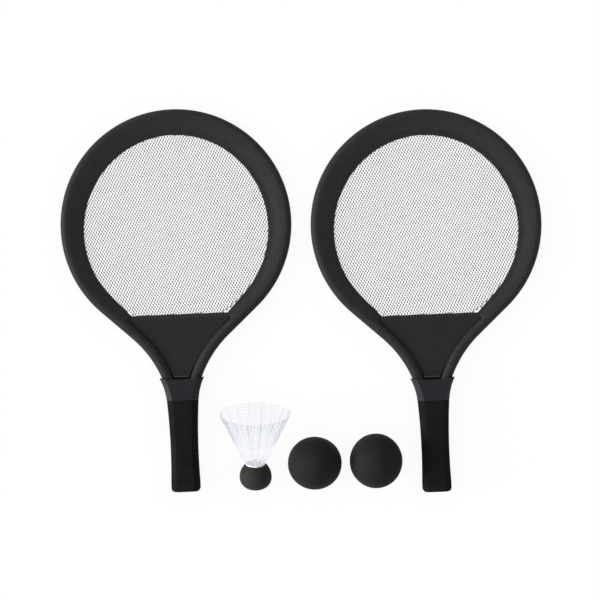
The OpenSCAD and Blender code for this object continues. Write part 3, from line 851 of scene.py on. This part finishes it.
class RACKETSET_OT_panels(bpy.types.Operator):
    """Fabric panels at the throats, one layer in front of the net and one behind"""
    bl_idname = "racket_set.panels"
    bl_label = "Throat panels"

    def execute(self, context):
        sizes, filled = settings("panel"), 0.56
        hoop = Hoop(settings("hoop"))
        finish = finish_of(panel_fabric, "panel fabric")
        start = hoop.distance_at(hoop.mouth_y - sizes.low, -sizes.overlap)
        end = hoop.bend + hoop.corner - hoop.sizes.corner
        shoulder = hoop.hem_at(end, -sizes.overlap)
        corner = Vector((hoop.hem_x(hoop.panel_top), hoop.panel_top))
        outer = sizes.net_half + sizes.thickness
        steps_up, corner_steps, steps_across = 110, 8, 90
        rows = [hoop.hem_at(mix(start, end, i / steps_up), -sizes.overlap)
                for i in range(steps_up)]
        rows += [shoulder.lerp(corner, i / corner_steps) for i in range(corner_steps + 1)]

        def edge_of(v):
            return rows[round(v * (len(rows) - 1))]

        def chart(u, v):
            return edge_of(v).x * math.sin(math.pi * (u - 0.5)), edge_of(v).y

        def place(u, v):
            x, y = chart(u, v)
            fall = 1 - ease(0.0, sizes.top_round, hoop.panel_top - y)
            fall = sizes.top_fall * sizes.thickness * fall ** 2
            rise = y - hoop.mouth_y
            welt = math.exp(-((rise - sizes.welt_rise) / sizes.welt_width) ** 2)
            gap = math.exp(-((rise - sizes.gap_rise) / sizes.gap_width) ** 2)
            bulge = 1 - ease(sizes.welt_rise, sizes.bulge_rise, rise)
            bulge *= ease(sizes.gap_rise, sizes.welt_rise, rise)
            inset = ease(sizes.flat_side, sizes.full_side, edge_of(v).x - abs(x))
            front = inset * (sizes.bulge * bulge + sizes.welt_height * welt)
            return Vector((x, y, outer - fall + front - sizes.gap * gap))

        for side in SIDES:
            for layer, facing in (("front", 1), ("back", -1)):
                bm = bmesh.new()
                lay_grid(bm, steps_across, len(rows) - 1, place, chart)
                self.note_seams(bm, hoop, sizes, rows, shoulder.y)
                face_outwards(bm)
                bmesh.ops.solidify(
                    bm, geom=list(bm.faces), thickness=sizes.fabric * sizes.thickness)
                bm.transform(Matrix.Diagonal((1, 1, facing, 1)))
                face_outwards(bm)
                panel = add_racket_piece(
                    side, "_throat_" + layer, bm, finish, "_panel_" + layer)
        return {"FINISHED"}

    def note_seams(self, bm, hoop, sizes, rows, shoulder_y):
        """Notes on every point how much painted shade it gets along the seams and at the handle's
        mouth, and how much painted highlight on the welt
        """
        dark = bm.verts.layers.float.new("crease")
        pale = bm.verts.layers.float.new("edging")
        mouth_shade_end = sizes.gap_rise + 1.5 * sizes.gap_width
        highlight_band, highlight_inset = (0.5, 1.1), (0.3 * MM, 1.2 * MM)
        for vertex in bm.verts:
            edge = min(rows, key=lambda spot: abs(spot.y - vertex.co.y))
            inset = edge.x - abs(vertex.co.x) - sizes.overlap
            rise = vertex.co.y - hoop.mouth_y
            from_welt = abs(rise - sizes.welt_rise) / sizes.welt_width
            # Painted highlight along the welt, fading out towards the side edges
            vertex[pale] = (1 - ease(*highlight_band, from_welt)) * ease(*highlight_inset, inset)
            # Painted shade along the seams by the covered legs, and below the fold at the handle's
            # mouth
            vertex[dark] = max(
                (1 - ease(0.0, sizes.crease, inset)) * (edge.y < shoulder_y),
                1 - ease(sizes.gap_rise, mouth_shade_end, rise))


class RACKETSET_OT_handles(bpy.types.Operator):
    """Moulded handles, their edges softened"""
    bl_idname = "racket_set.handles"
    bl_label = "Handle bodies"

    def execute(self, context):
        sizes, doubled = settings("grip"), 0.005 * MM
        for side in SIDES:
            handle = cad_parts[side + "_handle_body"]
            coat(handle, finish_of(handle_plastic, "handle plastic"))
            weld = handle.modifiers.new("Weld", "WELD")
            weld.merge_threshold = doubled
            soften = handle.modifiers.new("Soft edges", "BEVEL")
            soften.width = sizes.edge
            soften.segments = 2
            soften.limit_method = "ANGLE"
            soften.angle_limit = sizes.edge_angle
            soften.harden_normals = True
        return {"FINISHED"}


class RACKETSET_OT_grips(bpy.types.Operator):
    """Ribbed foam grips and their end caps"""
    bl_idname = "racket_set.grips"
    bl_label = "Grips"

    def execute(self, context):
        sizes = settings("grip")
        hoop = Hoop(settings("hoop"))
        finish = finish_of(grip_foam, "grip foam")
        self.top = hoop.mouth_y - sizes.collar
        self.end = self.top - sizes.grip
        self.seam = self.end + sizes.cap
        pieces = (("_grip_foam", self.sleeve_rings(sizes), "_grip_sleeve"),
                  ("_grip_end", self.cap_rings(sizes), "_butt_cap"))
        for side in SIDES:
            for name, rings, node in pieces:
                along, around = len(rings) - 1, len(rings[0])
                bm = bmesh.new()
                lay_grid(bm, along, around, lambda u, v: (
                    rings[round(u * along)][round(v * around) % around]))
                close_up(bm)
                add_racket_piece(side, name, bm, finish, node)
        return {"FINISHED"}

    def half_sizes(self, sizes, y):
        """Half the grip's width and thickness at a height"""
        from_waist = y - self.end - sizes.waist_rise
        return (sizes.waist_width / 2 + from_waist ** 2 / (2 * sizes.side_radius),
                sizes.waist_thickness / 2 + from_waist ** 2 / (2 * sizes.face_radius))

    def ring(self, sizes, y, at, inset):
        """Outline of the grip at y, as wide as it is at another height: a box with soft bevels"""
        w, t = self.half_sizes(sizes, at)
        radius, corner_steps = sizes.soften, 4
        bevel = max(2 * radius, sizes.bevel - inset / 2)
        w, t = w - inset, t - inset
        corners = [(w, t - sizes.bevel_slope * bevel), (w - bevel, t)]
        outline = corners + [(-x, z) for x, z in reversed(corners)]
        outline = [Vector(corner) for corner in outline + [(-x, -z) for x, z in outline]]
        points = []
        for before, here, after in zip(
                outline[-1:] + outline[:-1], outline, outline[1:] + outline[:1]):
            into, out = (here - before).normalized(), (after - here).normalized()
            first, last = Vector((into.y, -into.x)), Vector((out.y, -out.x))
            middle = here - (first + last) * radius / (1 + first.dot(last))
            for step in range(corner_steps + 1):
                normal = first.slerp(last, step / corner_steps)
                spot = middle + normal * radius
                points.append(Vector((spot.x, y, spot.y)))
        return points

    def sleeve_rings(self, sizes):
        """Rings along the sleeve, in and out over the ribs"""
        low, high, rib_steps = self.seam, self.top, 6
        steps = round((high - low) / sizes.rib) * rib_steps
        rings = []
        for i in range(steps + 1):
            y = mix(low, high, i / steps)
            near_end = 1 - min(1.0, min(y - low, high - y) / sizes.seam)
            edge = sizes.seam * (1 - math.sqrt(max(0.0, 1 - near_end ** 2)))
            groove = (0.5 + 0.5 * math.cos(2 * math.pi * (y - low) / sizes.rib)) ** 2
            rings.append(self.ring(sizes, y, y, edge + sizes.rib_depth * groove))
        return self.ended(rings)

    def cap_rings(self, sizes):
        """Rings of the end cap, round at its end and at its seam"""
        round_steps, seam_steps, turns = 10, 3, []
        for i in range(round_steps + 1):
            a = math.pi / 2 * i / round_steps
            turns.append((self.end, sizes.cap_round, 1 - math.cos(a), 1 - math.sin(a)))
        for i in range(seam_steps + 1):
            a = math.pi / 2 * i / seam_steps
            turns.append((self.seam, sizes.seam, math.sin(a) - 1, 1 - math.cos(a)))
        return self.ended([
            self.ring(sizes, edge + radius * along, self.seam, radius * inset)
            for edge, radius, along, inset in turns])

    def ended(self, rings):
        """The rings, with one more at each end that is drawn in to a point"""
        ends = [[Vector((0, ring[0].y, 0))] * len(ring) for ring in (rings[0], rings[-1])]
        return ends[:1] + rings + ends[1:]


def nose_arcs(sizes):
    """Radii of the arcs below and above the nose's sides, and how far out the side's middle is"""
    out = sizes.nose_radius - sizes.nose_side
    low = ((out ** 2 + sizes.nose_low ** 2 - sizes.nose_side ** 2)
           / (2 * (sizes.nose_low - sizes.nose_side)))
    inset = sizes.nose_radius - sizes.nose_face
    return low, (inset ** 2 + sizes.nose_flat ** 2) / (2 * inset), out


def shuttle_place():
    """The shuttlecock's own frame: origin at the nose's widest place, Z towards the mouth"""
    sizes = settings("shuttle")
    low_radius, _, out = nose_arcs(sizes)
    across = sizes.mouth_radius - out
    lean = (math.atan(across / sizes.reach)
            - math.asin(sizes.nose_side / math.hypot(across, sizes.reach)))
    low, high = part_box("shuttle_nose")
    middle = Vector((
        (low.x + high.x) / 2,
        low.y + low_radius - (low_radius - sizes.nose_low) * math.cos(lean) - sizes.shift,
        sizes.nose_side + out * math.cos(lean),
    ))
    return (Matrix.Translation(middle) @ Matrix.Rotation(sizes.turn, 4, "Z")
            @ Matrix.Rotation(lean - math.pi / 2, 4, "X"))


class RACKETSET_OT_skirt(bpy.types.Operator):
    """The open skirt: stems, thin ribs and rings on a cone, and the hub in the nose"""
    bl_idname = "racket_set.skirt"
    bl_label = "Skirt"

    def execute(self, context):
        sizes = settings("shuttle")
        lattice, hub = bmesh.new(), bmesh.new()
        between = sizes.ribs_between + 1
        for i in range(sizes.stems * between):
            turn = 2 * math.pi * (i / between + 0.5) / sizes.stems
            if i % between == 0:
                self.add_fin(lattice, sizes, turn, sizes.nose_flat, sizes.stem_width, 1.0)
            else:
                self.add_fin(
                    lattice, sizes, turn, sizes.rib_start, sizes.rib_width, sizes.rib_depth)
        first, last = sizes.rib_start + sizes.ring_height, sizes.reach - sizes.fringe
        for i in range(sizes.rings):
            self.add_ring(lattice, sizes, mix(first, last, i / (sizes.rings - 1)))
        self.add_hub(hub, sizes)
        for bm in (lattice, hub):
            face_outwards(bm)
            bm.transform(shuttle_place())
        add_piece(
            "skirt_lattice", lattice, "shuttlecock",
            finish_of(skirt_plastic, "skirt plastic", clear=1.0),
            ["shuttle_skirt"])
        add_piece(
            "skirt_hub", hub, "shuttlecock",
            finish_of(skirt_plastic, "hub plastic", clear=0.0), smooth=False)
        return {"FINISHED"}

    def rise(self, sizes, z):
        """Share of the way from the nose to the mouth at a height"""
        return (z - sizes.nose_flat) / (sizes.reach - sizes.nose_flat)

    def cone(self, sizes, z):
        """Radius of the skirt's outside at a height"""
        return mix(sizes.base_radius, sizes.mouth_radius, self.rise(sizes, z))

    def depth(self, sizes, z):
        """Depth of a stem at a height"""
        return mix(sizes.stem_foot, sizes.stem_tip, self.rise(sizes, z))

    def add_fin(self, bm, sizes, turn, low, width, deep):
        """A stem or a rib: a slim rod of eight sides that lies in the cone"""
        made = bmesh.ops.create_cone(
            bm, cap_ends=True, segments=8, radius1=0.5, radius2=0.5, depth=1)
        turned = Matrix.Rotation(turn, 4, "Z")
        curls, over_flats = 5, 1.08
        high = sizes.reach + sizes.fringe_drift * math.sin(curls * turn)
        for vertex in made["verts"]:
            z, taper = (low, 1.0) if vertex.co.z < 0 else (high, sizes.stem_taper)
            depth = self.depth(sizes, z) * deep
            middle = self.cone(sizes, z) - depth / 2
            vertex.co = turned @ Vector((
                middle + vertex.co.x * depth, vertex.co.y * width * taper * over_flats, z))

    def add_ring(self, bm, sizes, z):
        """A ring round the skirt, a little flattened"""
        sides, segments = 6, sizes.stems * (sizes.ribs_between + 1)
        depth = sizes.ring_depth * self.depth(sizes, z)
        middle = self.cone(sizes, z) - self.depth(sizes, z) / 2
        made = bmesh.ops.create_circle(bm, cap_ends=False, segments=sides, radius=0.5)
        for vertex in made["verts"]:
            vertex.co = Vector((
                middle + vertex.co.x * depth, 0, z + vertex.co.y * sizes.ring_height))
        edges = {edge for vertex in made["verts"] for edge in vertex.link_edges}
        bmesh.ops.spin(
            bm, geom=list(made["verts"]) + list(edges), cent=(0, 0, 0), axis=(0, 0, 1),
            angle=2 * math.pi, steps=segments, use_merge=True)

    def add_hub(self, bm, sizes):
        """The disc that the stems stand on and the plug below it"""
        low_inset, high_inset, overlap = 0.3 * MM, 0.1 * MM, 0.5 * MM
        low, high = sizes.base_radius - low_inset, sizes.base_radius - high_inset
        for segments, radius, top_radius, tall, rise in (
                (64, low, high, sizes.disc, sizes.disc / 2),
                (48, sizes.plug_radius, sizes.plug_radius, sizes.plug, overlap - sizes.plug / 2)):
            bmesh.ops.create_cone(
                bm, cap_ends=True, segments=segments, radius1=radius, radius2=top_radius,
                depth=tall, matrix=Matrix.Translation((0, 0, sizes.nose_flat + rise)))


class RACKETSET_OT_nose(bpy.types.Operator):
    """The foam nose, cut flat where the skirt goes in"""
    bl_idname = "racket_set.nose"
    bl_label = "Nose"

    def execute(self, context):
        sizes = settings("shuttle")
        bm = bmesh.new()
        outline = self.outline(sizes)
        around = 128
        turned = [Matrix.Rotation(2 * math.pi * i / around, 3, "Z") for i in range(around)]

        def place(u, v):
            radius, z = outline[round(u * (len(outline) - 1))]
            return turned[round(v * around) % around] @ Vector((radius, 0, z))

        lay_grid(bm, len(outline) - 1, around, place)
        close_up(bm)
        for vertex in bm.verts:
            push = noise.noise(vertex.co / sizes.nose_lump) * sizes.nose_drift
            vertex.co += vertex.co.normalized() * push
        bm.transform(shuttle_place())
        for vertex in bm.verts:
            vertex.co.z = max(vertex.co.z, 0.0)
        finish = finish_of(ball_foam, "nose foam", colour_name="nose", drift=150.0)
        nose = add_piece(
            "nose_foam", bm, "shuttlecock", finish, ["shuttle_nose"])
        return {"FINISHED"}

    def outline(self, sizes):
        """Half the nose's section: up the outside, over the soft edge, across and down the hole"""
        flat, soft = sizes.nose_flat, sizes.nose_round
        high = nose_arcs(sizes)[1]
        high_x, edge_z = sizes.nose_radius - high, flat - soft
        edge_x = math.sqrt((high - soft) ** 2 - edge_z ** 2)
        top_angle = math.atan2(edge_z, edge_x)
        low_steps, high_steps, edge_steps = 40, 20, 6
        arcs = (
            (high_x, 0.0, high, 0.0, top_angle, high_steps),
            (high_x + edge_x, edge_z, soft, top_angle, math.pi / 2, edge_steps),
        )
        points, power = [], 2 / sizes.nose_fullness
        for i in range(low_steps + 1):
            a = math.pi / 2 * i / low_steps
            points.append((
                sizes.nose_radius * math.sin(a) ** power, -sizes.nose_low * math.cos(a) ** power))
        for x, z, radius, first, last, steps in arcs:
            for i in range(1, steps + 1):
                a = mix(first, last, i / steps)
                points.append((x + radius * math.cos(a), z + radius * math.sin(a)))
        hole = sizes.plug_radius
        return points + [
            (hole + sizes.hole_edge, flat), (hole, flat - sizes.hole_edge),
            (hole, flat - sizes.hole), (0.0, flat - sizes.hole)]


class RACKETSET_OT_balls(bpy.types.Operator):
    """Two foam balls, neither quite round"""
    bl_idname = "racket_set.balls"
    bl_label = "Balls"

    def execute(self, context):
        sizes = settings("ball")
        finish = finish_of(ball_foam, "ball foam", colour_name="ball", drift=55.0)
        wide, narrow, narrow_share = 3.1, 9, 0.4
        for side, shift in zip(SIDES, (Vector((0, 2.1, -4.7)), Vector((7.3, 2.1, -4.7)))):
            node = "ball_" + side
            low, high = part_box(node)
            widths = Vector(getattr(sizes, side + "_size"))
            bm = bmesh.new()
            bmesh.ops.create_icosphere(bm, subdivisions=6, radius=0.5)
            for vertex in bm.verts:
                uneven = noise.noise(vertex.co * wide + shift)
                uneven += narrow_share * noise.noise(vertex.co * narrow + shift)
                vertex.co = widths * vertex.co * (1 + uneven * sizes.unevenness / widths.x)
            lowest = min(vertex.co.z for vertex in bm.verts)
            middle = (low + high) / 2
            bm.transform(Matrix.Translation((middle.x, middle.y, low.z - lowest)))
            ball = add_piece("foam_ball_" + side, bm, side + "_ball", finish, [node])
        return {"FINISHED"}


# ---- Stage ----

class RACKETSET_OT_stage(bpy.types.Operator):
    """Camera overhead, soft light from the left and a white floor"""
    bl_idname = "racket_set.stage"
    bl_label = "Stage"

    def execute(self, context):
        sizes = settings("stage")
        scene = context.scene
        scene.view_settings.view_transform = "Standard"
        camera = bpy.data.objects.new("Camera", bpy.data.cameras.new("Camera"))
        camera.location = (sizes.view_x, sizes.view_y, sizes.eye_height)
        reach = sizes.eye_height - sizes.view_level
        camera.data.lens = camera.data.sensor_width * reach / sizes.view_width
        camera.data.clip_end = 50
        scene.collection.objects.link(camera)
        scene.camera = camera
        self.light_sky(scene, sizes)
        self.light_key(scene, sizes)
        self.lay_floor(scene, sizes)
        return {"FINISHED"}

    def light_sky(self, scene, sizes):
        """Even light all round, white where it is seen"""
        world = bpy.data.worlds.new("Studio")
        scene.world = world
        world.use_nodes = True
        tree = world.node_tree
        shader = next(n for n in tree.nodes if n.type == "BACKGROUND")
        strength = ramped(tree, seen(tree), 0.0, 1.0, to_low=sizes.sky)
        tree.links.new(strength, shader.inputs["Strength"])
        shader.inputs["Color"].default_value = (1, 1, 1, 1)

    def light_key(self, scene, sizes):
        """A wide soft light from the left"""
        lamp = bpy.data.lights.new("Key", "SUN")
        lamp.energy = sizes.key
        lamp.angle = sizes.key_spread
        key = bpy.data.objects.new("Key", lamp)
        turn = math.pi + sizes.key_turn
        flat = math.cos(sizes.key_rise)
        towards = Vector((flat * math.cos(turn), flat * math.sin(turn), math.sin(sizes.key_rise)))
        key.rotation_mode = "QUATERNION"
        key.rotation_quaternion = towards.to_track_quat("Z", "Y")
        scene.collection.objects.link(key)

    def lay_floor(self, scene, sizes):
        """A white floor that shows the shadows lightly"""
        bm = bmesh.new()
        bmesh.ops.create_grid(bm, x_segments=1, y_segments=1, size=sizes.floor_size / 2)
        mesh = bpy.data.meshes.new("Floor")
        bm.to_mesh(mesh)
        bm.free()
        floor = bpy.data.objects.new("Floor", mesh)
        scene.collection.objects.link(floor)
        material = bpy.data.materials.new("floor")
        material.use_nodes = True
        tree = material.node_tree
        tree.nodes.clear()
        tone = (*settings("colours").floor, 1)
        matte = add_node(tree, "ShaderNodeBsdfDiffuse", {"Color": tone})
        contact = add_node(
            tree, "ShaderNodeAmbientOcclusion", {"Distance": sizes.contact}, samples=12)
        lit = ramped(tree, contact.outputs["AO"], 0.0, 1.0, to_low=1 - sizes.contact_share)
        glow = add_node(tree, "ShaderNodeEmission", {"Color": (1, 1, 1, 1), "Strength": lit})
        glowing = maths(tree, "MULTIPLY", seen(tree), 1 - sizes.shadow)
        both = add_node(tree, "ShaderNodeMixShader", {
            0: glowing, 1: matte.outputs[0], 2: glow.outputs[0]})
        add_node(tree, "ShaderNodeOutputMaterial", {"Surface": both.outputs[0]})
        mesh.materials.append(material)


# ---- Add-on ----

GROUPS = {
    "hoop": HoopSizes, "net": NetSizes, "panel": PanelSizes, "grip": GripSizes,
    "shuttle": ShuttleSizes, "ball": BallSizes, "colours": SetColours, "stage": StageSizes,
}
OPERATORS = (
    RACKETSET_OT_stage, RACKETSET_OT_rims, RACKETSET_OT_nets, RACKETSET_OT_panels,
    RACKETSET_OT_handles, RACKETSET_OT_grips, RACKETSET_OT_skirt, RACKETSET_OT_nose,
    RACKETSET_OT_balls,
)


class RACKETSET_PT_pieces(bpy.types.Panel):
    """Buttons for the pieces and the stage"""
    bl_label = "Racket Set"
    bl_space_type = "VIEW_3D"
    bl_region_type = "UI"
    bl_category = "Racket Set"

    def draw(self, context):
        for operator in OPERATORS:
            self.layout.operator(operator.bl_idname)
        for name, group in GROUPS.items():
            box = self.layout.box()
            box.label(text=name.capitalize())
            for key in group.__annotations__:
                box.prop(settings(name), key)


def register():
    for group in GROUPS.values():
        bpy.utils.register_class(group)
    for name, group in GROUPS.items():
        setattr(bpy.types.Scene, "racket_set_" + name, PointerProperty(type=group))
    for operator in OPERATORS:
        bpy.utils.register_class(operator)
    bpy.utils.register_class(RACKETSET_PT_pieces)


def unregister():
    bpy.utils.unregister_class(RACKETSET_PT_pieces)
    for operator in reversed(OPERATORS):
        bpy.utils.unregister_class(operator)
    for name, group in reversed(GROUPS.items()):
        delattr(bpy.types.Scene, "racket_set_" + name)
        bpy.utils.unregister_class(group)


def main():
    """Builds the whole set"""
    register()
    bpy.ops.racket_set.stage()
    bpy.ops.racket_set.rims()
    bpy.ops.racket_set.nets()
    bpy.ops.racket_set.panels()
    bpy.ops.racket_set.handles()
    bpy.ops.racket_set.grips()
    bpy.ops.racket_set.skirt()
    bpy.ops.racket_set.nose()
    bpy.ops.racket_set.balls()


if __name__ == "__main__":
    main()
